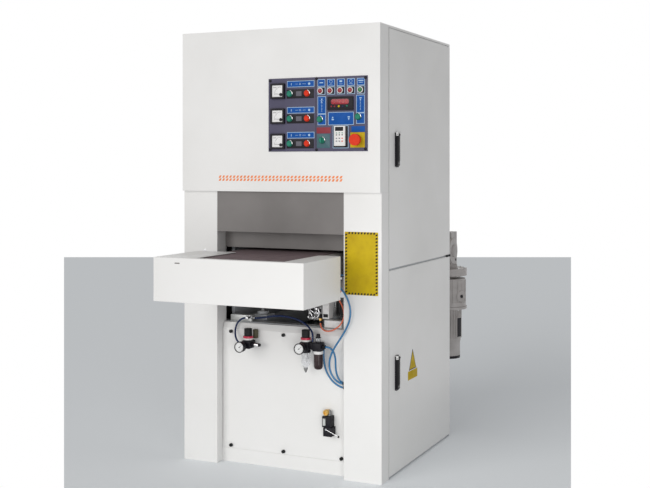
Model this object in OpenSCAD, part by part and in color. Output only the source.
// Wide-belt wood sanding machine with two sanding heads and a rising feed table.
// Millimetres. X runs across the machine, Y from front to back, Z up.
// The origin is on the floor, in the middle of the four anchor holes.

/* [Cabinet] */
// Width across the side faces
cabinet_w = 950; // [930:10:1050]
// Depth from the column faces to the rear cover
cabinet_d = 890; // [880:10:980]
// Height to the top of the hood
cabinet_h = 1900; // [1890:10:2000]
// Width of each front column
column_w = 170; // [160:5:180]
// Depth of the columns' side faces
column_d = 80; // [75:1:90]
// Height of the hood's lower edge
hood_z = 1200; // [1180:5:1240]
// How far the hood stands in front of the columns
hood_proud = 15; // [8:1:25]
// Thickness of the cover sheets
sheet = 2; // [1.5:0.5:3]
// Depth of the doors' folded edges
door_d = 20; // [16:1:24]
// Play between the doors and the frame behind them
door_play = 5; // [4:1:8]
// Gap at the doors' edges
door_gap = 6; // [4:1:8]
// Height of the gap between the two doors
door_split_z = 876; // [840:2:910]

/* [Frame] */
// Height of the floor frame
plinth_h = 60; // [50:5:80]
// Width of the floor frame's members
plinth_w = 60; // [50:5:70]
// Size of the posts and rails
post_w = 50; // [40:2:54]
// Wall of the folded frame members
frame_wall = 5; // [4:1:6]
// Thickness of the wall that carries the sanding heads
wall_t = 15; // [12:1:20]
// Top of the beams under the feed table
beam_z = 620; // [610:2:624]
// Radius of the four anchor holes
anchor_r = 9; // [7:0.5:10]
// Distance from the floor frame's side members to the anchor holes
anchor_in_x = 35; // [32:1:40]
// Distance from the column faces, and from the rear cover, to the anchor holes
anchor_in_y = 180; // [170:5:200]
// Outer radius of the dust collars on the top
dust_r = 62.5; // [50:0.5:65]
// Height of the dust collars
dust_h = 50; // [40:2:55]

/* [Feed table] */
// Height of the feed belt's top face with the table at rest
belt_z = 939; // [935:0.5:941]
// Gap between the feed belt and the sanding belts at rest
throat = 10; // [9.5:0.5:14]
// Gap between the feed belt's edges and the side plates
feed_side = 11; // [9:1:20]
// Thickness of the feed belt
feed_t = 3; // [2:0.5:4]
// Radius of the feed rollers
feed_r = 50; // [44:1:52]
// Distance from the columns' inner edges to the inner faces of the table's side plates
table_side = 69; // [65:1:75]
// Thickness of the table's side plates
plate_t = 10; // [8:1:12]
// How far the table is cantilevered in front of the columns, to the feed roller's axis
infeed_reach = 370; // [365:1:372]
// How far the drive roller's axis lies behind the rear cover
outfeed_reach = 140; // [136:1:150]
// Radius of the table's lifting screws
screw_r = 15; // [12:0.5:16]

/* [Infeed shroud] */
// How far the shroud's sides stand out past the columns' inner edges
shroud_side = 32.5; // [25:0.5:40]
// Length of the shroud from front to back
shroud_l = 344; // [340:1:350]
// Height of the shroud's faces
shroud_h = 178; // [165:1:185]
// Height of the shroud's rim above the feed belt
shroud_lip = 4; // [3:0.5:6]
// Distance from the shroud's rear edge to the columns
shroud_gap = 106; // [100:1:110]

/* [Sanding heads] */
// Distance from the columns' inner edges to the sanding belts' edges
sand_side = 90; // [88:1:100]
// Thickness of the sanding belts
sand_t = 1.2; // [1:0.1:1.5]
// Radius of the first contact drum
drum_1_r = 75; // [70:1:78]
// Radius of the second contact drum
drum_2_r = 60; // [55:1:62]
// Radius of the tension rollers
tension_r = 45; // [40:1:48]
// Radius of the nose roller behind the platen
nose_r = 30; // [28:1:32]
// Radius of the pressure rollers
press_r = 30; // [26:1:30]
// Height of the first head's tension roller axis
tension_1_z = 1781; // [1770:1:1790]
// Height of the second head's tension roller axis
tension_2_z = 1725; // [1715:1:1735]

/* [Drive] */
// Radius of the main motors' housings
motor_r = 95; // [85:1:97]
// Height of the main motors' axes
motor_z = 230; // [226:1:240]
// Radius of the motor pulleys
motor_pulley_r = 80; // [70:1:85]
// Radius of the drum pulleys
drum_pulley_r = 58; // [54:1:60]

/* [Control panel] */
// Width of the control panel
panel_w = 460; // [456:1:470]
// Height of the control panel
panel_h = 312; // [308:1:320]
// Thickness of the control panel
panel_t = 3; // [2:0.5:4]
// Travel of the push buttons
button_travel = 4; // [3:0.5:4.5]
// Travel of the emergency stop
stop_travel = 6; // [4:0.5:6]

/* [Hidden] */
$fn = 48;

// Overrun of every cut, clearance between pieces that move, and play of a shaft in its bearing
cut = 1;
play = 0.3;
bearing_play = 0.05;

// Degrees between the points of a belt's arcs
arc_step = 5;

// Main planes of the cabinet
side_x = cabinet_w / 2;
front_y = -cabinet_d / 2;
rear_y = cabinet_d / 2;
column_x = side_x - column_w;
column_y = front_y + column_d;
hood_y = front_y - hood_proud;
frame_x = side_x - door_d - door_play;
frame_top = cabinet_h - sheet;
rim_h = 10;
cover_foot = 8;
cover_top = cabinet_h - rim_h - sheet;
rear_inner_y = rear_y - sheet;

// Floor frame: lugs with the anchor holes, rails under the main motors
lug_l = 80;
lug_t = 12;
lug_side = 35;
motor_foot_h = 112;
motor_rail_w = 40;
plinth_x = frame_x - plinth_w;
anchor_x = plinth_x - anchor_in_x;
anchor_y = cabinet_d / 2 - anchor_in_y;

// Cross rails and beams that carry the lifting jacks
beam_h = 60;
beam_w = 60;
jack_in_x = 56;
jack_in_y = 195;
jack_y = cabinet_d / 2 - jack_in_y;
jack_w = 80;
jack_h = 35;
jack_collar_r = 26;

// Wall that the sanding heads are cantilevered from
wall_x = -column_x;
wall_face_x = wall_x + wall_t;

// Doors, their hinge line and handles
hinge_in = 10;
hinge_x = side_x - hinge_in;
hinge_y = rear_y - hinge_in;
hinge_r = 5;
hinge_bore_r = hinge_r + bearing_play;
bush_r = 8;
bush_l = 12;
bracket_t = 5;
split_gap = 8;
door_foot = 9;
door_front_y = column_y + door_gap;
handle_w = 34;
handle_h = 148;
housing_t = 5;
handle_from_front = 82;
handle_upper_z = 1306;
handle_lower_z = 358;
ear_t = 4;
lever_r = 4.7;
lever_rise = lever_r + play;
trunnion_r = 2;
handle_tip_gap = 8;
handle_y = door_front_y + handle_from_front;

// Places of the dust collars, from the cabinet's sides and from the column faces
dust_in_x = 325;
dust_in_y = 550;

// Gland for the mains cable on the rear cover
gland_in = 90;
gland_x = -side_x + gland_in;
gland_z = 260;
gland_r = 20;
gland_bore_r = 9;
gland_l = 24;

// Rear window that the feed table passes through
window_side = 54;
window_low_z = 640;
window_high_z = 1010;

// Throat plate and lower covers
guard_z = 1023;
guard_in = 75;
guard_y = front_y + guard_in;
guard_rise = 1;
sand_z = belt_z + throat;
guard_low = sand_z + guard_rise;
cover_in = 48;
cover_y = front_y + cover_in;
kick_h = 60;
cover_gap = 2;
cover_bend_z = 590;
cover_top_z = 617;
cover_lean = 12;
tab_h = 30;
knob_r = 7.5;
knob_t = 10;
stud_r = 3;
stud_l = 10;
stud_hole_r = 3.5;
low_knob_z = 74;
high_knob_z = 578;
knob_in_left = 45;
knob_in_right = 30;
low_knob_xs = [-column_x + knob_in_left, 0, column_x - knob_in_right];
high_knob_xs = [-column_x + knob_in_left, 0];

// Feed table: rollers, bed and the parts that hang from it
roller_z = belt_z - feed_t - play - feed_r;
idler_y = front_y - infeed_reach;
drive_y = rear_y + outfeed_reach;
loop_r = feed_r + play;
roller_side = 4;
journal_r = 12.5;
plate_x = column_x - table_side;
plate_out_x = plate_x + plate_t;
plate_drop = 7;
plate_top = belt_z - plate_drop;
feed_x = plate_x - feed_side;
jack_x = plate_x - jack_in_x;
plate_low = roller_z - loop_r - feed_t;
plate_over = 55;
bed_t = 10;
bed_end = 60;
brace_h = 30;
brace_w = 60;
brace_in = 315;
brace_pitch = 400;
brace_ys = [for (i = [0:2]) idler_y + brace_in + i * brace_pitch];
cross_w = 60;
cross_h = 40;
cross_low = 770;
drop_l = 120;
screw_low = 480;
screw_head_r = 25;
screw_head_t = 8;

// Infeed shroud
shroud_x = column_x + shroud_side;
shroud_y1 = front_y - shroud_gap;
shroud_y0 = shroud_y1 - shroud_l;
shroud_top = belt_z + shroud_lip;
shroud_low = shroud_top - shroud_h;
rim_in = 98;
front_rim = 30;
hem = 15;
arm_w = 30;
arm_h = 30;
arm_from_front = 45;
arm_from_rear = 20;

// Gearmotor at the drive roller's right end
worm_in = 75;
worm_back = 50;
worm_x = side_x - worm_in;
worm_y = drive_y + worm_back;
case_w = 100;
case_r = 62;
case_l = 76;
case_low = 812;
case_high = 978;
output_r = 55;
neck_r = 50;
flange_r = 98;
flange_low = 760;
flange_t = 36;
throat_r = 45;
variator_r = 90;
variator_low = 600;
variator_high = 745;
motor_flange_r = 98;
motor_flange_t = 12;
feed_motor_r = 67;
feed_motor_low = 433;
cowl_r = 64;
cowl_low = 350;
spindle_r = 8;
wheel_r = 48;
wheel_t = 14;
wheel_z = 672;
wheel_hub_l = 26;
wheel_boss_r = 16;

// Sanding heads
sand_x = column_x - sand_side;
drum_side = 5;
drum_x = sand_x + drum_side;
arm_gap = 5;
head_arm_x = drum_x + arm_gap;
head_arm_t = 15;
head_end_x = head_arm_x + head_arm_t;
shaft_r = 17.5;
roller_shaft_r = 10;
belt_gap = play + sand_t;
head_1_in = 300;
head_pitch = 240;
nose_back = 150;
tension_back = 70;
head_1_y = front_y + head_1_in;
head_2_y = head_1_y + head_pitch;
nose_y = head_2_y + nose_back;
tension_2_y = head_2_y + tension_back;
drum_1_z = sand_z + belt_gap + drum_1_r;
drum_2_z = sand_z + belt_gap + drum_2_r;
nose_z = sand_z + belt_gap + nose_r;
head_beam_w = 90;
head_beam_low = 1250;
head_beam_high = 1450;
head_beam_wall = 8;
beam_back = 65;
beam_2_y = head_2_y + beam_back;
head_arm_w = 60;
yoke_r = 22;
yoke_drop = 76;
yoke_h = 30;
yoke_w = 40;
platen_l = 52;
platen_t = 22;
platen_back = 91;
platen_y = head_2_y + platen_back;
platen_web = 20;
shaft_hole_r = 26;
nose_boss_r = 22;

// Pressure rollers and their hangers
press_lead = 117;
press_trail = 72;
press_front_y = head_1_y - press_lead;
press_rear_y = nose_y + press_trail;
press_z = sand_z + press_r;
hanger_low = 1062;
hanger_h = 40;
hanger_w = 40;
hanger_arm_w = 24;
hanger_boss_r = 15;

// Main motors, pulleys and V-belts
pulley_out = 92;
pulley_x = -column_x - pulley_out;
groove_pitch = 16;
groove_n = 3;
rib_t = 3;
groove_d = 8;
pulley_l = groove_n * groove_pitch + rib_t;
motor_shaft_r = 14;
motor_side = 90;
motor_l = 280;
motor_x0 = wall_face_x + motor_side;
motor_x1 = motor_x0 + motor_l;
motor_rail_in = 70;
motor_rail_pitch = 220;
motor_rail_xs = [motor_x0 + motor_rail_in, motor_x0 + motor_rail_in + motor_rail_pitch];
fan_cowl_l = 50;
fan_cowl_over = 3;
socket_l = 16;
motor_back = 80;
motor_ys = [head_1_y, head_2_y + motor_back];
foot_t = 12;
foot_w = 190;
pedestal_w = 100;
box_w = 90;
box_h = 40;
box_in = 140;
box_x = motor_x0 + box_in;

// Control panel: places from its upper left corner, to the right and down
panel_side = 55;
panel_rise = 172;
panel_x = side_x - panel_side - panel_w;
panel_z = hood_z + panel_rise;
window_in = 10;
row_v = 60;
row_pitch = 106;
meter_u = 42;
meter_w = 66;
meter_t = 12;
meter_body_r = 26;
meter_body_l = 42;
start_u = 102;
stop_u = 184;
row_drop = 6;
lamp_u = 245;
lamp_pitch = 45;
lamp_v = 56;
lamp_r = 8;
lamp_t = 6;
display_u = 275;
display_v = 81;
display_w = 117;
display_h = 57;
display_t = 6;
keypad_u = 304;
keypad_v = 206;
keypad_w = 50;
keypad_h = 84;
keypad_t = 8;
raise_u = 244;
raise_v = 177;
lower_u = 418;
lower_v = 169;
selector_u = 254;
selector_v = 265;
estop_u = 413;
estop_v = 265;
bezel_r = 15;
bezel_t = 3;
cap_r = 11;
cap_front = 9;
cap_stop = 0.5;
cap_back = button_travel + cap_stop - panel_t;
mushroom_back = stop_travel + cap_stop - panel_t;
stem_r = 6;
stem_l = 20;
block_r = 14;
block_l = 30;
mushroom_r = 24;
mushroom_front = 30;
mushroom_t = 16;
mushroom_stem_r = 9;
selector_t = 16;
selector_bar = 7;
selector_bar_in = 1.5;
selector_base_t = 8;
panel_face = hood_y - panel_t;

// Air preparation units in front of the lower cover
unit_y = front_y;
unit_w = 42;
unit_body_h = 36;
filter_side = 176;
filter_x = column_x - filter_side;
filter_z = 530;
lubricator_pitch = 59;
lubricator_x = filter_x + lubricator_pitch;
lubricator_w = 40;
left_unit_in = 155;
left_unit_x = -column_x + left_unit_in;
left_unit_z = 518;
link_h = 20;
link_w = 24;
gauge_r = 21;
gauge_t = 24;
gauge_reach = 55;
gauge_neck_r = 6;
gauge_up = 14;
left_gauge_off = 5;
filter_gauge_off = 1.5;
knob_ring_r = 21.5;
knob_ring_h = 13.5;
grip_r = 16.5;
grip_h = 33;
neck_h = 8;
neck_bore_r = 8.3;
unit_neck_r = 8;
bowl_r = 19.5;
bowl_ring_r = 20.5;
bowl_ring_h = 8;
bowl_low = 470;
drain_r = 5;
cone_h = 16;
drain_low = 436;
oil_bowl_low = 462;
oil_bowl_end = 10;
dome_r = 11;
dome_h = 19;
oil_knob_r = 8;
oil_knob_h = 17;
port_r = 9;
port_l = 13;
port_up = 1;
bay_port_in = 30;
bay_port_back = 4;
inlet_block_w = 22;
inlet_block_d = 18;
inlet_block_h = 16;
bracket_h = 16;
fitting_r = 6;
fitting_l = 8;

// Bulkhead fittings on the right column's inner face: places behind the column's face, and heights
bulkhead_ins = [49, 49, 11, 25, 15];
bulkhead_zs = [850, 790, 399, 400, 382];

// Valves on the lower cover and in the bay above it
valve_side = 79;
valve_x = column_x - valve_side;
valve_w = 40;
valve_d = 40;
valve_low_z = 170;
valve_mid_z = 208;
valve_top_z = 254;
valve_step = 6;
brass_r = 13;
inlet_r = 6.5;
inlet_l = 14;
brass_z = 268;
lever_pivot_z = 200;
lever_hub_r = 8;
lever_hub_t = 7;
lever_pin_r = 4;
lever_l = 66;
lever_w = 6;
lever_angle = 23;
lever_ball_r = 5;
lever_ball_proud = 1;
manifold_in = 21;
manifold_l = 107;
manifold_gap = 1;
manifold_d = 40;
manifold_h = 30;
manifold_x0 = -column_x + manifold_in;
manifold_x1 = manifold_x0 + manifold_l;
elbow_in = 6;
elbow_out = 23;
elbow_up = 20;
elbow_x = manifold_x1 - elbow_in;
elbow_y = column_y - elbow_out;
elbow_z = beam_z + elbow_up;
solenoid_sides = [195, 125];
solenoid_xs = [for (s = solenoid_sides) column_x - s];
solenoid_ws = [68, 32];
solenoid_lows = [650, 658];
solenoid_highs = [712, 727];
solenoid_front = 25;
solenoid_d = 45;
solenoid_foot = 5;
brake_port_in = 60;
brake_port_back = 5;

// Hoses: outer radii, sides of a tube, and points of their routes
hose_r = 4;
brake_hose_r = 3;
hose_sides = 8;
hose_table_route = [[297, -396, 850], [281, -398, 850], [266, -406, 847], [256, -420, 842],
    [255, -437, 835], [263, -453, 827], [278, -463, 818], [297, -466, 804], [317, -466, 783],
    [332, -465, 756], [341, -464, 727], [343, -463, 698], [338, -462, 670], [327, -460, 643],
    [312, -458, 617], [294, -456, 590], [275, -454, 563], [257, -451, 535], [245, -449, 507],
    [240, -447, 478], [243, -444, 450], [254, -440, 425], [273, -436, 406], [297, -434, 399]];
hose_outlet_route = [[221, -445, 549], [238, -445, 547], [252, -444, 538], [260, -441, 522],
    [263, -436, 498], [262, -432, 472], [263, -428, 446], [269, -424, 422], [281, -421, 405],
    [297, -420, 400]];
hose_inlet_route = [[197, -411, 540], [197, -411, 518], [198, -412, 494], [203, -415, 468], [213, -419, 443],
    [229, -423, 420], [250, -427, 401], [273, -429, 388], [297, -430, 382]];
hose_bay_route = [[159, -441, 566], [159, -439, 584], [153, -433, 603], [138, -425, 619], [117, -416, 632],
    [92, -406, 642], [64, -396, 649], [34, -386, 653], [2, -376, 655], [-30, -368, 655], [-63, -361, 652],
    [-97, -354, 646], [-132, -348, 639], [-169, -345, 635]];
hose_regulator_route = [[-191, -388, 640], [-212, -391, 634], [-227, -398, 619], [-233, -407, 597],
    [-230, -417, 574], [-220, -428, 555], [-203, -438, 541], [-179, -445, 535]];
hose_brake_route = [[297, -396, 790], [280, -397, 787], [268, -401, 776], [264, -406, 760],
    [271, -411, 742], [283, -415, 725], [292, -417, 704], [294, -418, 682], [288, -418, 660],
    [275, -417, 640], [256, -415, 625], [234, -412, 614], [213, -408, 610], [197, -402, 611],
    [183, -394, 616], [173, -388, 627], [170, -385, 642]];

// Box from its lowest corner to its highest corner
module span(x0, x1, y0, y1, z0, z1) {
    translate([x0, y0, z0]) cube([x1 - x0, y1 - y0, z1 - z0]);
}

// Folded pan: a box hollowed from the side that open points to
module pan(x0, x1, y0, y1, z0, z1, wall, open) {
    difference() {
        span(x0, x1, y0, y1, z0, z1);
        span(x0 + (open.x < 0 ? -cut : wall), x1 + (open.x > 0 ? cut : -wall),
            y0 + (open.y < 0 ? -cut : wall), y1 + (open.y > 0 ? cut : -wall),
            z0 + (open.z < 0 ? -cut : wall), z1 + (open.z > 0 ? cut : -wall));
    }
}

// Round bars along each axis
module rod_x(r, x0, x1, y, z) {
    translate([x0, y, z]) rotate([0, 90, 0]) cylinder(r = r, h = x1 - x0);
}

module rod_y(r, x, y0, y1, z) {
    translate([x, y0, z]) rotate([-90, 0, 0]) cylinder(r = r, h = y1 - y0);
}

module rod_z(r, x, y, z0, z1) {
    translate([x, y, z0]) cylinder(r = r, h = z1 - z0);
}

// Outline of [y, z] points carried along X
module prism_x(x0, x1, points) {
    translate([x0, 0, 0]) rotate([90, 0, 90]) linear_extrude(height = x1 - x0) polygon(points);
}

module both_sides() {
    children();
    mirror([1, 0, 0]) children();
}

// Direction of the outer tangent's normal from circle a to circle b, each [y, z, r]
function tangent_angle(a, b) =
    let (d = [b[0] - a[0], b[1] - a[1]]) atan2(d[1], d[0]) - 90 + asin((a[2] - b[2]) / norm(d));

function on_circle(c, angle) = [c[0] + c[2] * cos(angle), c[1] + c[2] * sin(angle)];

// Outline around circles in anticlockwise order: an arc on each, joined by the tangents
function outline(circles) = let (n = len(circles)) [for (i = [0:n - 1])
    let (c = circles[i], from = tangent_angle(circles[(i + n - 1) % n], c),
        wrap = (tangent_angle(c, circles[(i + 1) % n]) - from + 720) % 360, steps = ceil(wrap / arc_step))
    for (k = [0:steps]) on_circle(c, from + wrap * k / steps)];

function grow(circles, by) = [for (c = circles) [c[0], c[1], c[2] + by]];

// Endless belt around circles, its inner face on them
module belt_loop(x0, x1, circles, thick) {
    translate([x0, 0, 0]) rotate([90, 0, 90]) linear_extrude(height = x1 - x0) difference() {
        polygon(outline(grow(circles, thick)));
        polygon(outline(circles));
    }
}

// Tube swept along a route, square to the fittings at its ends: directions at its points, and a side
// vector carried along them
function unit(v) = v / norm(v);

function directions(p, first, last) =
    [for (i = [0:len(p) - 1]) i == 0 ? first : i == len(p) - 1 ? last : unit(p[i + 1] - p[i - 1])];

function side_vector(d, i) =
    i == 0 ? unit(cross(d[0], [d[0].y, d[0].z, -d[0].x]))
    : let (n = side_vector(d, i - 1)) unit(n - (n * d[i]) * d[i]);

module hose(route, r, first, last) {
    d = directions(route, first, last);
    n = len(route);
    s = hose_sides;
    points = [for (i = [0:n - 1]) let (a = side_vector(d, i), b = cross(d[i], a))
        for (j = [0:s - 1]) route[i] + r * (cos(360 * j / s) * a + sin(360 * j / s) * b)];
    walls = [for (i = [0:n - 2], j = [0:s - 1]) let (k = (j + 1) % s)
        each [[i * s + j, (i + 1) * s + j, (i + 1) * s + k], [i * s + j, (i + 1) * s + k, i * s + k]]];
    caps = [for (j = [1:s - 2]) each [[0, j, j + 1], [(n - 1) * s, (n - 1) * s + j + 1, (n - 1) * s + j]]];
    polyhedron(points = points, faces = concat(walls, caps));
}

// One hinge bracket at the rear right corner, with a pin that reaches out of it
module hinge_bracket(z, pin_low, pin_high) {
    span(frame_x - frame_wall, hinge_x + bush_r, hinge_y - bush_r, hinge_y + bush_r, z, z + bracket_t);
    rod_z(hinge_r, hinge_x, hinge_y, pin_low, pin_high);
}

// Floor frame of folded members, open below, with anchor lugs, motor rails and the lowest hinge bracket
module base_frame() {
    cross_y = column_y + plinth_w;
    color("dimgray") difference() {
        union() {
            both_sides() {
                pan(plinth_x, frame_x, column_y, rear_inner_y, 0, plinth_h, frame_wall, [0, 0, -1]);
                for (y = [-anchor_y, anchor_y])
                    span(anchor_x - lug_side, plinth_x + frame_wall, y - lug_l / 2, y + lug_l / 2, 0, lug_t);
            }
            pan(-plinth_x, plinth_x, column_y, cross_y, 0, plinth_h, frame_wall, [0, 0, -1]);
            pan(-plinth_x, plinth_x, rear_inner_y - plinth_w, rear_inner_y, 0, plinth_h, frame_wall,
                [0, 0, -1]);
            for (x = motor_rail_xs)
                pan(x - motor_rail_w / 2, x + motor_rail_w / 2, cross_y, rear_inner_y - plinth_w, 0,
                    motor_z - motor_foot_h, frame_wall, [0, 0, -1]);
            hinge_bracket(door_foot - bracket_t - sheet, door_foot - bracket_t, door_foot + bush_l);
        }
        for (x = [-anchor_x, anchor_x], y = [-anchor_y, anchor_y]) rod_z(anchor_r, x, y, -cut, lug_t + cut);
    }
}

// Posts, top ring, cross rails, jack beams with their jacks, head wall and hinge brackets
module main_frame() {
    front_rail_y = column_y + post_w;
    rear_rail_y = rear_inner_y - post_w;
    post_x = frame_x - post_w;
    split_low = door_split_z - bracket_t / 2;
    color("slategray") difference() {
        union() {
            both_sides() for (y = [column_y, rear_rail_y])
                pan(post_x, frame_x, y, y + post_w, plinth_h, frame_top, frame_wall, [-1, 0, 0]);
            for (y = [column_y, rear_rail_y], top = [frame_top, beam_z]) {
                high = top == beam_z ? beam_h : post_w;
                pan(-post_x, post_x, y, y + post_w, top - high, top, frame_wall, [0, 0, -1]);
            }
            both_sides() pan(post_x, frame_x, front_rail_y, rear_rail_y, frame_top - post_w, frame_top,
                frame_wall, [0, 0, -1]);
            both_sides() pan(jack_x - beam_w / 2, jack_x + beam_w / 2, front_rail_y, rear_rail_y,
                beam_z - beam_h, beam_z, frame_wall, [0, 0, -1]);
            both_sides() for (y = [-jack_y, jack_y]) {
                span(jack_x - jack_w / 2, jack_x + jack_w / 2, y - jack_w / 2, y + jack_w / 2, beam_z,
                    beam_z + jack_h - bush_l);
                rod_z(jack_collar_r, jack_x, y, beam_z, beam_z + jack_h);
            }
            span(wall_x, wall_face_x, front_rail_y, rear_rail_y, beam_z - beam_h, frame_top);
            hinge_bracket(split_low, split_low - bush_l, split_low + bracket_t + bush_l);
            hinge_bracket(cover_top + sheet, cover_top - bush_l, cover_top + bracket_t);
        }
        both_sides() for (y = [-jack_y, jack_y])
            rod_z(screw_r + play, jack_x, y, beam_z - beam_h - cut, beam_z + jack_h + cut);
        for (p = [[head_1_y, drum_1_z], [head_2_y, drum_2_z]])
            rod_x(shaft_hole_r, wall_x - cut, wall_face_x + cut, p[0], p[1]);
    }
}

// Folded front column, open to the rear
module column() {
    color("whitesmoke") pan(column_x, side_x, front_y, column_y, 0, hood_z, sheet, [0, 1, 0]);
}

module left_column() {
    mirror([1, 0, 0]) column();
}

// The right column has a bulkhead fitting on its inner face for each hose that ends there
module right_column() {
    column();
    color("silver") for (i = [0:len(bulkhead_zs) - 1])
        rod_x(fitting_r, column_x - fitting_l, column_x + sheet, front_y + bulkhead_ins[i], bulkhead_zs[i]);
}

// Upper front housing, one folded sheet with a window behind the control panel
module front_hood() {
    color("white") difference() {
        pan(-side_x, side_x, hood_y, column_y, hood_z, cabinet_h, sheet, [0, 1, 0]);
        span(panel_x + window_in, panel_x + panel_w - window_in, hood_y - cut, hood_y + sheet + cut,
            panel_z + window_in, panel_z + panel_h - window_in);
    }
}

// Top sheet with down-turned rims and two dust collars
module top_cover() {
    dust_x = side_x - dust_in_x;
    dust_y = front_y + dust_in_y;
    color("whitesmoke") difference() {
        union() {
            span(-side_x, side_x, column_y, rear_y, cabinet_h - sheet, cabinet_h);
            both_sides() span(side_x - sheet, side_x, column_y, rear_y, cabinet_h - rim_h, cabinet_h);
            span(-side_x, side_x, rear_inner_y, rear_y, cabinet_h - rim_h, cabinet_h);
            both_sides() rod_z(dust_r, dust_x, dust_y, cabinet_h, cabinet_h + dust_h);
        }
        both_sides() rod_z(dust_r - sheet, dust_x, dust_y, cabinet_h - rim_h - cut, cabinet_h + dust_h + cut);
    }
}

// Fixed left side cover, and rear cover with the window for the table
module fixed_covers() {
    window_x = plate_out_x + window_side;
    color("gainsboro") pan(-side_x, -frame_x, column_y, rear_inner_y, cover_foot, cover_top, sheet,
        [1, 0, 0]);
    color("gainsboro") difference() {
        union() {
            span(-side_x, frame_x - door_play, rear_inner_y, rear_y, cover_foot, cover_top);
            rod_y(gland_r, gland_x, rear_inner_y, rear_y + gland_l, gland_z);
        }
        span(-window_x, window_x, rear_inner_y - cut, rear_y + cut, window_low_z, window_high_z);
        rod_y(gland_bore_r, gland_x, rear_inner_y - cut, rear_y + gland_l + cut, gland_z);
    }
}

// Grey guard above the throat: face plate, return and inner lip
module throat_plate() {
    color("dimgray") prism_x(-column_x, column_x, [[front_y, guard_z], [guard_y - sheet, guard_z],
        [guard_y - sheet, guard_low], [guard_y, guard_low], [guard_y, guard_z + sheet],
        [front_y + sheet, guard_z + sheet], [front_y + sheet, hood_z], [front_y, hood_z]]);
}

// Lower service cover with a leaning top edge, drilled for its thumb screws
module lower_front_cover() {
    low = kick_h + cover_gap;
    x = column_x - cover_gap;
    color("whitesmoke") difference() {
        prism_x(-x, x, [[cover_y, low], [cover_y + sheet, low], [cover_y + sheet, cover_bend_z],
            [cover_y + cover_lean + sheet, cover_top_z - sheet], [column_y, cover_top_z - sheet],
            [column_y, cover_top_z], [cover_y + cover_lean, cover_top_z], [cover_y, cover_bend_z]]);
        for (x = low_knob_xs) rod_y(stud_hole_r, x, cover_y - cut, cover_y + sheet + cut, low_knob_z);
        for (x = high_knob_xs) rod_y(stud_hole_r, x, cover_y - cut, cover_y + sheet + cut, high_knob_z);
    }
}

// Kick rail at the floor, with the tab that the lower cover is screwed to
module kick_rail() {
    tab_y = cover_y + 2 * sheet;
    color("white") difference() {
        prism_x(-column_x, column_x, [[cover_y, 0], [cover_y + sheet, 0], [cover_y + sheet, kick_h - sheet],
            [column_y, kick_h - sheet], [column_y, kick_h], [tab_y, kick_h], [tab_y, kick_h + tab_h],
            [cover_y + sheet, kick_h + tab_h], [cover_y + sheet, kick_h], [cover_y, kick_h]]);
        for (x = low_knob_xs) rod_y(stud_hole_r, x, cover_y, tab_y + cut, low_knob_z);
    }
}

// Knob of the lower cover with its stud
module thumb_screw(x, z, stud_end) {
    rod_y(knob_r, x, cover_y - knob_t, cover_y, z);
    rod_y(stud_r, x, cover_y - knob_t, stud_end, z);
}

module thumb_screws() {
    color("black") {
        for (x = low_knob_xs) thumb_screw(x, low_knob_z, cover_y + stud_l);
        for (x = high_knob_xs) thumb_screw(x, high_knob_z, column_y);
    }
}

// Places on the control panel, from its upper left corner
function panel_at(u, v) = [panel_x + u, panel_z + panel_h - v];
function row_at(i) = row_v + i * row_pitch;

button_places = [for (i = [0:2]) panel_at(start_u, row_at(i) + row_drop),
    for (i = [0:2]) panel_at(stop_u, row_at(i) + row_drop),
    panel_at(raise_u, raise_v), panel_at(lower_u, lower_v)];
selector_place = panel_at(selector_u, selector_v);
estop_place = panel_at(estop_u, estop_v);

module control_panel() {
    color("darkslateblue") difference() {
        span(panel_x, panel_x + panel_w, panel_face, hood_y, panel_z, panel_z + panel_h);
        for (p = concat(button_places, [selector_place, estop_place]))
            rod_y(cap_r + play, p[0], panel_face - cut, hood_y + cut, p[1]);
        for (i = [0:2]) {
            p = panel_at(meter_u, row_at(i));
            rod_y(meter_body_r + play, p[0], panel_face - cut, hood_y + cut, p[1]);
        }
    }
}

// Bezel in front of the panel and switch block behind it
module switch_body(p) {
    difference() {
        union() {
            rod_y(bezel_r, p[0], panel_face - bezel_t, panel_face, p[1]);
            rod_y(cap_r + play, p[0], panel_face, hood_y, p[1]);
            rod_y(block_r, p[0], hood_y, hood_y + block_l, p[1]);
        }
        rod_y(cap_r + bearing_play, p[0], panel_face - bezel_t - cut, hood_y, p[1]);
        rod_y(stem_r + bearing_play, p[0], panel_face, hood_y + block_l + cut, p[1]);
    }
}

// A flat unit on the panel's face
module face_unit(u, v, w, h, t) {
    p = panel_at(u, v);
    span(p[0], p[0] + w, panel_face - t, panel_face, p[1] - h, p[1]);
}

// Meters, display, keypad, lamps and the fixed parts of the switches
module panel_instruments() {
    color("gainsboro") {
        for (i = [0:2]) {
            p = panel_at(meter_u, row_at(i));
            face_unit(meter_u - meter_w / 2, row_at(i) - meter_w / 2, meter_w, meter_w, meter_t);
            rod_y(meter_body_r, p[0], panel_face - meter_t / 2, hood_y + meter_body_l, p[1]);
        }
        for (i = [0:4]) {
            p = panel_at(lamp_u + i * lamp_pitch, lamp_v);
            rod_y(lamp_r, p[0], panel_face - lamp_t, panel_face, p[1]);
        }
        face_unit(display_u, display_v, display_w, display_h, display_t);
        face_unit(keypad_u, keypad_v, keypad_w, keypad_h, keypad_t);
        for (p = concat(button_places, [selector_place, estop_place])) switch_body(p);
    }
}

// Cap and stem of a push button at panel place p
module push_button(p) {
    rod_y(cap_r, p[0], panel_face - cap_front, panel_face - cap_back, p[1]);
    rod_y(stem_r, p[0], panel_face - cap_back, panel_face + stem_l, p[1]);
}

module start_button(i) {
    color("seagreen") push_button(button_places[i]);
}

module stop_button(i) {
    color("orangered") push_button(button_places[i + 3]);
}

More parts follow.
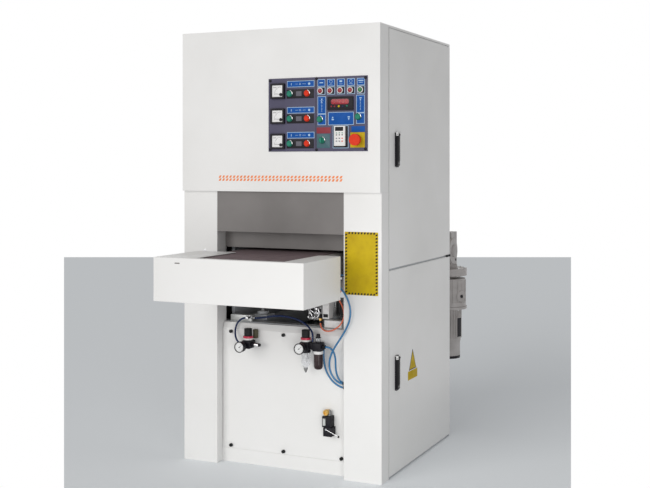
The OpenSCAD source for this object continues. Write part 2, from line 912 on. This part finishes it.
// Two-position switch knob with a raised grip
module mode_selector() {
    p = selector_place;
    color("seagreen") {
        rod_y(cap_r, p[0], panel_face - selector_base_t, panel_face - cap_back, p[1]);
        span(p[0] - selector_bar / 2, p[0] + selector_bar / 2, panel_face - selector_t,
            panel_face - selector_base_t, p[1] - cap_r + selector_bar_in, p[1] + cap_r - selector_bar_in);
        rod_y(stem_r, p[0], panel_face - cap_back, panel_face + stem_l, p[1]);
    }
}

module emergency_stop() {
    p = estop_place;
    color("red") {
        rod_y(mushroom_r, p[0], panel_face - mushroom_front, panel_face - mushroom_front + mushroom_t, p[1]);
        rod_y(mushroom_stem_r, p[0], panel_face - mushroom_front, panel_face - mushroom_back, p[1]);
        rod_y(stem_r, p[0], panel_face - mushroom_back, panel_face + stem_l, p[1]);
    }
}

// Folded door with hinge bushes in its rear corners and a handle housing on its face
module door(low, high, handle_z) {
    color("gainsboro") difference() {
        union() {
            pan(side_x - door_d, side_x, door_front_y, rear_y, low, high, sheet, [-1, 0, 0]);
            for (z = [low, high - bush_l]) rod_z(bush_r, hinge_x, hinge_y, z, z + bush_l);
        }
        for (z = [low - cut, high - bush_l - cut])
            rod_z(hinge_bore_r, hinge_x, hinge_y, z, z + bush_l + 2 * cut);
    }
    color("black") difference() {
        union() {
            span(side_x, side_x + housing_t, handle_y - handle_w / 2, handle_y + handle_w / 2, handle_z,
                handle_z + handle_h);
            for (s = [-1, 1]) {
                y = handle_y + s * (handle_w - ear_t) / 2;
                span(side_x, side_x + housing_t + 2 * lever_rise, y - ear_t / 2, y + ear_t / 2,
                    handle_z + handle_h - 3 * lever_rise, handle_z + handle_h);
            }
        }
        rod_y(trunnion_r + bearing_play, pivot_x, handle_y - handle_w / 2 - cut,
            handle_y + handle_w / 2 + cut, pivot_z(handle_z));
    }
}

pivot_x = side_x + housing_t + lever_rise;
function pivot_z(handle_z) = handle_z + handle_h - 2 * lever_rise;

module upper_door() {
    door(door_split_z + split_gap / 2, cover_top, handle_upper_z);
}

module lower_door() {
    door(door_foot, door_split_z - split_gap / 2, handle_lower_z);
}

// Lift-out lever that turns on trunnions at its top
module door_lever(handle_z) {
    half = handle_w / 2 - ear_t - play;
    color("black") {
        rod_y(lever_r, pivot_x, handle_y - half, handle_y + half, pivot_z(handle_z));
        span(pivot_x - lever_r, pivot_x + lever_r, handle_y - half, handle_y + half,
            handle_z + handle_tip_gap, pivot_z(handle_z));
        rod_y(trunnion_r, pivot_x, handle_y - handle_w / 2, handle_y + handle_w / 2, pivot_z(handle_z));
    }
}

// Box-like shroud around the infeed end of the table, open below
module infeed_shroud() {
    inner_x = shroud_x - rim_in;
    color("white") {
        span(-shroud_x, shroud_x, shroud_y0, shroud_y0 + sheet, shroud_low, shroud_top);
        span(-shroud_x, shroud_x, shroud_y0, shroud_y0 + front_rim, shroud_top - sheet, shroud_top);
        span(-shroud_x, shroud_x, shroud_y0, shroud_y0 + hem, shroud_low, shroud_low + sheet);
        both_sides() {
            span(shroud_x - sheet, shroud_x, shroud_y0, shroud_y1, shroud_low, shroud_top);
            span(inner_x, shroud_x, shroud_y0, shroud_y1, shroud_top - sheet, shroud_top);
            span(shroud_x - hem, shroud_x, shroud_y0, shroud_y1, shroud_low, shroud_low + sheet);
        }
    }
}

// Side plates, bed, braces, lifting beams and the arms that hold the shroud
module table_frame() {
    y0 = idler_y - plate_over;
    y1 = drive_y + plate_over;
    color("lightsteelblue") difference() {
        union() {
            both_sides() {
                span(plate_x, plate_out_x, y0, y1, plate_low, plate_top);
                for (y = [-jack_y, jack_y])
                    span(plate_x, plate_out_x, y - drop_l / 2, y + drop_l / 2, cross_low, plate_low);
                for (y = [shroud_y0 + arm_from_front, shroud_y1 - arm_from_rear - arm_w])
                    span(plate_out_x, shroud_x - sheet, y, y + arm_w, shroud_top - sheet - arm_h,
                        shroud_top - sheet);
            }
            span(-plate_x, plate_x, idler_y + bed_end, drive_y - bed_end, belt_z - feed_t - bed_t,
                belt_z - feed_t);
            for (y = brace_ys)
                span(-plate_x, plate_x, y - brace_w / 2, y + brace_w / 2, roller_z - brace_h / 2,
                    roller_z + brace_h / 2);
            for (y = [-jack_y, jack_y])
                span(-plate_x, plate_x, y - cross_w / 2, y + cross_w / 2, cross_low, cross_low + cross_h);
        }
        for (y = [idler_y, drive_y])
            rod_x(journal_r + bearing_play, -plate_out_x - cut, plate_out_x + cut, y, roller_z);
    }
}

module feed_belt() {
    color("rosybrown") belt_loop(-feed_x, feed_x,
        [[idler_y, roller_z, loop_r], [drive_y, roller_z, loop_r]], feed_t);
}

// Feed roller with a journal at each end
module feed_roller(y, right_end) {
    x = plate_x - roller_side;
    color("silver") {
        rod_x(feed_r, -x, x, y, roller_z);
        rod_x(journal_r, -plate_out_x, right_end, y, roller_z);
    }
}

// Worm gear, variable-speed unit and motor in one upright stack
module gearmotor() {
    color("silver") difference() {
        union() {
            rod_x(output_r, plate_out_x, worm_x - case_w / 2, drive_y, roller_z);
            rod_x(case_r, worm_x - case_w / 2, worm_x + case_w / 2, drive_y, roller_z);
            span(worm_x - case_l / 2, worm_x + case_l / 2, drive_y, worm_y + case_l / 2, case_low, case_high);
            rod_z(neck_r, worm_x, worm_y, flange_low, case_low);
            rod_z(flange_r, worm_x, worm_y, flange_low, flange_low + flange_t);
            rod_z(throat_r, worm_x, worm_y, variator_high, flange_low);
            rod_z(variator_r, worm_x, worm_y, variator_low, variator_high);
            rod_z(motor_flange_r, worm_x, worm_y, variator_low - motor_flange_t / 2,
                variator_low + motor_flange_t / 2);
            rod_z(feed_motor_r, worm_x, worm_y, feed_motor_low, variator_low);
            rod_z(cowl_r, worm_x, worm_y, cowl_low, feed_motor_low);
            rod_y(wheel_boss_r, worm_x, worm_y, worm_y + variator_r + wheel_hub_l / 2, wheel_z);
        }
        rod_x(journal_r + bearing_play, plate_out_x - cut, worm_x + case_w / 2 + cut, drive_y, roller_z);
        rod_y(spindle_r + bearing_play, worm_x, worm_y + variator_r / 2,
            worm_y + variator_r + wheel_hub_l, wheel_z);
    }
}

// Handwheel that sets the feed speed
module speed_handwheel() {
    face = worm_y + variator_r + wheel_hub_l / 2 + play;
    color("dimgray") {
        rod_y(spindle_r, worm_x, worm_y + variator_r / 2 + cut, face + wheel_hub_l, wheel_z);
        rod_y(wheel_boss_r, worm_x, face, face + wheel_hub_l, wheel_z);
        difference() {
            rod_y(wheel_r, worm_x, face + wheel_t / 2, face + wheel_t / 2 + wheel_t, wheel_z);
            rod_y(wheel_r - wheel_t, worm_x, face + wheel_t, face + 2 * wheel_t, wheel_z);
        }
    }
}

// Four lifting screws that hang from the table's cross beams
module lift_screws() {
    color("silver") both_sides() for (y = [-jack_y, jack_y]) {
        rod_z(screw_r, jack_x, y, screw_low, cross_low);
        rod_z(screw_head_r, jack_x, y, cross_low - screw_head_t, cross_low);
    }
}

// Side arm of the first head: a bar from the beam down to the drum's bearing
module head_arm_1(x) {
    difference() {
        union() {
            span(x, x + head_arm_t, head_1_y - head_arm_w / 2, head_1_y + head_arm_w / 2, drum_1_z,
                head_beam_low);
            rod_x(head_arm_w / 2, x, x + head_arm_t, head_1_y, drum_1_z);
        }
        rod_x(shaft_r + bearing_play, x - cut, x + head_arm_t + cut, head_1_y, drum_1_z);
    }
}

// Side arm of the second head: a plate that holds the drum and the nose roller
module head_arm_2(x) {
    half = head_arm_w / 2;
    difference() {
        union() {
            prism_x(x, x + head_arm_t, [[head_2_y - half, drum_2_z], [nose_y, nose_z - nose_r / 2],
                [nose_y + nose_r / 2, nose_z + nose_r], [beam_2_y + head_beam_w / 2, head_beam_low],
                [beam_2_y - head_beam_w / 2, head_beam_low]]);
            rod_x(half, x, x + head_arm_t, head_2_y, drum_2_z);
            rod_x(nose_boss_r, x, x + head_arm_t, nose_y, nose_z);
        }
        rod_x(shaft_r + bearing_play, x - cut, x + head_arm_t + cut, head_2_y, drum_2_z);
        rod_x(roller_shaft_r + bearing_play, x - cut, x + head_arm_t + cut, nose_y, nose_z);
    }
}

// Beam of a head with the tension yoke above it
module head_beam(y, beam_y, tension_z) {
    yoke_z = tension_z - yoke_drop;
    pan(wall_face_x, head_end_x, beam_y - head_beam_w / 2, beam_y + head_beam_w / 2, head_beam_low,
        head_beam_high, head_beam_wall, [1, 0, 0]);
    rod_z(yoke_r, 0, y, head_beam_high - head_beam_wall, yoke_z);
    span(-head_end_x, head_end_x, y - yoke_w / 2, y + yoke_w / 2, yoke_z - yoke_h / 2, yoke_z + yoke_h / 2);
    both_sides() difference() {
        union() {
            span(head_arm_x, head_end_x, y - yoke_w / 2, y + yoke_w / 2, yoke_z, tension_z);
            rod_x(yoke_w / 2, head_arm_x, head_end_x, y, tension_z);
        }
        rod_x(roller_shaft_r + bearing_play, head_arm_x - cut, head_end_x + cut, y, tension_z);
    }
}

// Hanger of a pressure roller, cantilevered from the head wall
module press_hanger(y) {
    span(wall_face_x, head_end_x, y - hanger_w / 2, y + hanger_w / 2, hanger_low, hanger_low + hanger_h);
    both_sides() difference() {
        union() {
            span(head_arm_x, head_end_x, y - hanger_arm_w / 2, y + hanger_arm_w / 2, press_z, hanger_low);
            rod_x(hanger_boss_r, head_arm_x, head_end_x, y, press_z);
        }
        rod_x(roller_shaft_r + bearing_play, head_arm_x - cut, head_end_x + cut, y, press_z);
    }
}

// Cantilevered frames of both heads, the sanding platen and the roller hangers
module head_frames() {
    color("steelblue") {
        head_beam(head_1_y, head_1_y, tension_1_z);
        head_beam(tension_2_y, beam_2_y, tension_2_z);
        for (x = [-head_end_x, head_arm_x]) {
            head_arm_1(x);
            head_arm_2(x);
        }
        span(-head_arm_x, head_arm_x, platen_y - platen_l / 2, platen_y + platen_l / 2, sand_z + belt_gap,
            sand_z + belt_gap + platen_t);
        span(-head_arm_x, head_arm_x, platen_y - platen_web / 2, platen_y + platen_web / 2,
            sand_z + belt_gap + platen_t, drum_2_z + head_arm_w / 2);
        press_hanger(press_front_y);
        press_hanger(press_rear_y);
    }
}

// Ribbed pulley for the V-belts
module pulley(r, y, z) {
    rod_x(r - groove_d, pulley_x, pulley_x + pulley_l, y, z);
    for (i = [0:groove_n])
        rod_x(r, pulley_x + i * groove_pitch, pulley_x + i * groove_pitch + rib_t, y, z);
}

// Contact drum with its shaft and, on the left, its pulley
module contact_drum(r, y, z) {
    color("darkslategray") rod_x(r, -drum_x, drum_x, y, z);
    color("silver") {
        rod_x(shaft_r, pulley_x, head_end_x, y, z);
        pulley(drum_pulley_r, y, z);
    }
}

module plain_roller(r, y, z) {
    color("silver") {
        rod_x(r, -drum_x, drum_x, y, z);
        rod_x(roller_shaft_r, -head_end_x, head_end_x, y, z);
    }
}

module sanding_belts() {
    color("saddlebrown") {
        belt_loop(-sand_x, sand_x, grow([[head_1_y, drum_1_z, drum_1_r], [head_1_y, tension_1_z, tension_r]],
            play), sand_t);
        belt_loop(-sand_x, sand_x, grow([[head_2_y, drum_2_z, drum_2_r], [nose_y, nose_z, nose_r],
            [tension_2_y, tension_2_z, tension_r]], play), sand_t);
    }
}

// Foot-mounted main motor with its fan cowl and terminal box
module main_motor(y) {
    top = motor_z + motor_r;
    color("steelblue") difference() {
        union() {
            rod_x(motor_r, motor_x0, motor_x1, y, motor_z);
            rod_x(motor_r + fan_cowl_over, motor_x1, motor_x1 + fan_cowl_l, y, motor_z);
            span(motor_rail_xs[0] - motor_rail_w / 2, motor_rail_xs[1] + motor_rail_w / 2, y - foot_w / 2,
                y + foot_w / 2, motor_z - motor_foot_h, motor_z - motor_foot_h + foot_t);
            span(motor_rail_xs[0] - motor_rail_w / 2, motor_x1, y - pedestal_w / 2, y + pedestal_w / 2,
                motor_z - motor_foot_h, motor_z);
            span(box_x - box_w / 2, box_x + box_w / 2, y - box_w / 2, y + box_w / 2, motor_z, top + box_h);
        }
        rod_x(motor_shaft_r + bearing_play, motor_x0 - cut, motor_x0 + socket_l, y, motor_z);
    }
}

module main_motors() {
    for (y = motor_ys) main_motor(y);
}

// Motor shaft and pulley
module motor_pulley(i) {
    color("silver") {
        pulley(motor_pulley_r, motor_ys[i], motor_z);
        rod_x(motor_shaft_r, pulley_x, motor_x0 + socket_l - cut, motor_ys[i], motor_z);
    }
}

// Three V-belts for each head
module v_belts() {
    drums = [[head_1_y, drum_1_z], [head_2_y, drum_2_z]];
    color("black") for (h = [0, 1], i = [0:groove_n - 1]) {
        x = pulley_x + i * groove_pitch + rib_t + play;
        belt_loop(x, x + groove_pitch - rib_t - 2 * play,
            [[motor_ys[h], motor_z, motor_pulley_r - groove_d + play],
            [drums[h][0], drums[h][1], drum_pulley_r - groove_d + play]], groove_d);
    }
}

module hose_table() {
    color("steelblue") hose(hose_table_route, hose_r, [-1, 0, 0], [1, 0, 0]);
}

module hose_outlet() {
    color("steelblue") hose(hose_outlet_route, hose_r, [1, 0, 0], [1, 0, 0]);
}

module hose_inlet() {
    color("steelblue") hose(hose_inlet_route, hose_r, [0, 0, -1], [1, 0, 0]);
}

module hose_bay() {
    color("midnightblue") hose(hose_bay_route, hose_r, [0, 0, 1], [-1, 0, 0]);
}

module hose_regulator() {
    color("midnightblue") hose(hose_regulator_route, hose_r, [-1, 0, 0], [1, 0, 0]);
}

module hose_brake() {
    color("orangered") hose(hose_brake_route, brake_hose_r, [-1, 0, 0], [0, 0, 1]);
}

// Gauge on the front of an air unit
module gauge(x, z) {
    face = unit_y - gauge_reach;
    rod_y(gauge_r, x, face, face + gauge_t, z);
    rod_y(gauge_neck_r, x, face + gauge_t, unit_y, z);
}

// Body block of an air unit with its bracket to the lower cover
module unit_block(x, z, w) {
    span(x - w / 2, x + w / 2, unit_y - w / 2, unit_y + w / 2, z, z + unit_body_h);
    span(x - w / 4, x + w / 4, unit_y, cover_y, z + unit_body_h / 2 - bracket_h / 2,
        z + unit_body_h / 2 + bracket_h / 2);
}

// Single regulator on the left
module air_regulator() {
    top = left_unit_z + unit_body_h;
    mid = left_unit_z + unit_body_h / 2;
    color("dimgray") {
        unit_block(left_unit_x, left_unit_z, unit_w);
        rod_z(dome_r, left_unit_x, unit_y, left_unit_z - neck_h, left_unit_z);
        rod_z(unit_neck_r, left_unit_x, unit_y, top, top + neck_h);
        gauge(left_unit_x - left_gauge_off, left_unit_z + gauge_up);
        rod_x(port_r, left_unit_x + unit_w / 2, left_unit_x + unit_w / 2 + port_l, unit_y, mid);
        rod_x(fitting_r, left_unit_x + unit_w / 2, left_unit_x + unit_w / 2 + 2 * port_l, unit_y, mid);
        rod_x(fitting_r, left_unit_x - unit_w / 2 - fitting_l, left_unit_x, unit_y, mid - port_up);
    }
}

// Filter-regulator with a clear bowl, joined to a lubricator with an oil bowl
module air_filter_lubricator() {
    top = filter_z + unit_body_h;
    mid = filter_z + unit_body_h / 2;
    side = lubricator_x + lubricator_w / 2;
    color("dimgray") {
        unit_block(filter_x, filter_z, unit_w);
        unit_block(lubricator_x, filter_z, lubricator_w);
        span(filter_x, lubricator_x, unit_y - link_w / 2, unit_y + link_w / 2, mid - link_h / 2,
            mid + link_h / 2);
        rod_z(unit_neck_r, filter_x, unit_y, top, top + neck_h);
        gauge(filter_x - filter_gauge_off, filter_z + gauge_up);
        for (x = [filter_x, lubricator_x]) rod_z(bowl_ring_r, x, unit_y, filter_z - bowl_ring_h, filter_z);
        rod_z(bowl_r, filter_x, unit_y, bowl_low, filter_z);
        translate([filter_x, unit_y, bowl_low - cone_h])
            cylinder(r1 = dome_r, r2 = bowl_r, h = cone_h);
        rod_z(drain_r, filter_x, unit_y, drain_low, bowl_low);
        rod_z(bowl_r, lubricator_x, unit_y, oil_bowl_low, filter_z);
        translate([lubricator_x, unit_y, oil_bowl_low - oil_bowl_end])
            cylinder(r1 = dome_r, r2 = bowl_r, h = oil_bowl_end);
        rod_z(dome_r, lubricator_x, unit_y, top, top + dome_h);
        rod_z(oil_knob_r, lubricator_x, unit_y, top, top + dome_h + oil_knob_h);
        rod_x(port_r, side, side + port_l, unit_y, mid + port_up);
        rod_z(fitting_r, filter_x + bay_port_in, unit_y + bay_port_back, mid, top);
        span(lubricator_x, lubricator_x + inlet_block_w, cover_y - inlet_block_d, cover_y,
            mid - inlet_block_h / 2, mid + inlet_block_h / 2);
    }
}

// Pull-up pressure knob with its lock ring
module regulator_knob(x, base) {
    difference() {
        union() {
            rod_z(knob_ring_r, x, unit_y, base + play, base + knob_ring_h);
            rod_z(grip_r, x, unit_y, base + knob_ring_h, base + knob_ring_h + grip_h);
        }
        rod_z(neck_bore_r, x, unit_y, base, base + neck_h + play);
    }
}

module regulator_knob_left() {
    color("black") regulator_knob(left_unit_x, left_unit_z + unit_body_h);
}

module regulator_knob_right() {
    color("black") regulator_knob(filter_x, filter_z + unit_body_h);
}

// Inlet valve on the lower cover, manifold and solenoid valve in the bay, and hose fittings
module air_valves() {
    front = cover_y - valve_d;
    solenoid_y = column_y - solenoid_front;
    manifold_y = column_y + manifold_gap;
    color("darkslategray") difference() {
        union() {
            span(valve_x - valve_w / 2 - valve_step, valve_x + valve_w / 2 - valve_step, front, cover_y,
                valve_mid_z, valve_top_z);
            span(valve_x - valve_w / 2, valve_x + valve_w / 2, front, cover_y, valve_low_z, valve_mid_z);
            rod_y(brass_r, valve_x - 2 * valve_step, front, cover_y, brass_z);
        }
        rod_y(lever_pin_r + play, valve_x - valve_step, front - cut, front + valve_w / 2, lever_pivot_z);
        rod_y(inlet_r, valve_x - 2 * valve_step, front - cut, front + inlet_l, brass_z);
    }
    color("silver") {
        span(manifold_x0, manifold_x1, manifold_y, column_y + manifold_d, beam_z, beam_z + manifold_h);
        rod_x(fitting_r, manifold_x1, manifold_x1 + fitting_l, column_y + manifold_d / 2,
            beam_z + manifold_h / 2);
        rod_y(fitting_r, elbow_x, elbow_y - fitting_r, manifold_y, elbow_z);
        rod_x(fitting_r, elbow_x - fitting_l, elbow_x, elbow_y, elbow_z);
        for (i = [0, 1]) {
            x0 = solenoid_xs[i];
            x1 = x0 + solenoid_ws[i];
            span(x0, x1, solenoid_y, solenoid_y + solenoid_d, solenoid_lows[i], solenoid_highs[i]);
            span(x0 + solenoid_foot, x1 - solenoid_foot, column_y, solenoid_y + solenoid_d, beam_z,
                solenoid_lows[i]);
        }
        rod_z(fitting_r, solenoid_xs[0] + brake_port_in, solenoid_y + brake_port_back,
            solenoid_lows[0] - fitting_l, solenoid_lows[0]);
    }
}

// Lever on the inlet valve's spindle
module valve_lever() {
    front = cover_y - valve_d;
    color("black") translate([valve_x - valve_step, front - play, lever_pivot_z])
        rotate([0, lever_angle, 0]) {
            translate([0, -lever_hub_t, -lever_w / 2]) cube([lever_l, lever_w, lever_w]);
            rod_y(lever_hub_r, 0, -lever_hub_t, 0, 0);
            rod_y(lever_ball_r, lever_l, -lever_hub_t - lever_ball_proud, 0, 0);
            rod_y(lever_pin_r, 0, -lever_hub_t, lever_hub_t + play, 0);
        }
}

base_frame();
main_frame();
left_column();
right_column();
front_hood();
top_cover();
fixed_covers();
throat_plate();
lower_front_cover();
kick_rail();
thumb_screws();
control_panel();
panel_instruments();
upper_door();
lower_door();
door_lever(handle_upper_z);  // upper_handle
door_lever(handle_lower_z);  // lower_handle
infeed_shroud();
table_frame();
feed_belt();
feed_roller(drive_y, worm_x + case_w / 2);  // drive_roller
feed_roller(idler_y, plate_out_x);  // idler_roller
gearmotor();
speed_handwheel();
lift_screws();
start_button(0);  // start_button_1
start_button(1);  // start_button_2
start_button(2);  // start_button_3
stop_button(0);  // stop_button_1
stop_button(1);  // stop_button_2
stop_button(2);  // stop_button_3
color("seagreen") push_button(button_places[6]);  // raise_button
color("seagreen") push_button(button_places[7]);  // lower_button
mode_selector();
emergency_stop();
air_regulator();
air_filter_lubricator();
regulator_knob_left();
regulator_knob_right();
air_valves();
valve_lever();
hose_table();
hose_outlet();
hose_inlet();
hose_bay();
hose_regulator();
hose_brake();
head_frames();
contact_drum(drum_1_r, head_1_y, drum_1_z);  // contact_drum_1
contact_drum(drum_2_r, head_2_y, drum_2_z);  // contact_drum_2
plain_roller(nose_r, nose_y, nose_z);  // nose_roller
plain_roller(tension_r, head_1_y, tension_1_z);  // tension_roller_1
plain_roller(tension_r, tension_2_y, tension_2_z);  // tension_roller_2
sanding_belts();
main_motors();
motor_pulley(0);  // motor_pulley_1
motor_pulley(1);  // motor_pulley_2
v_belts();
plain_roller(press_r, press_front_y, press_z);  // pressure_roller_front
plain_roller(press_r, press_rear_y, press_z);  // pressure_roller_rear
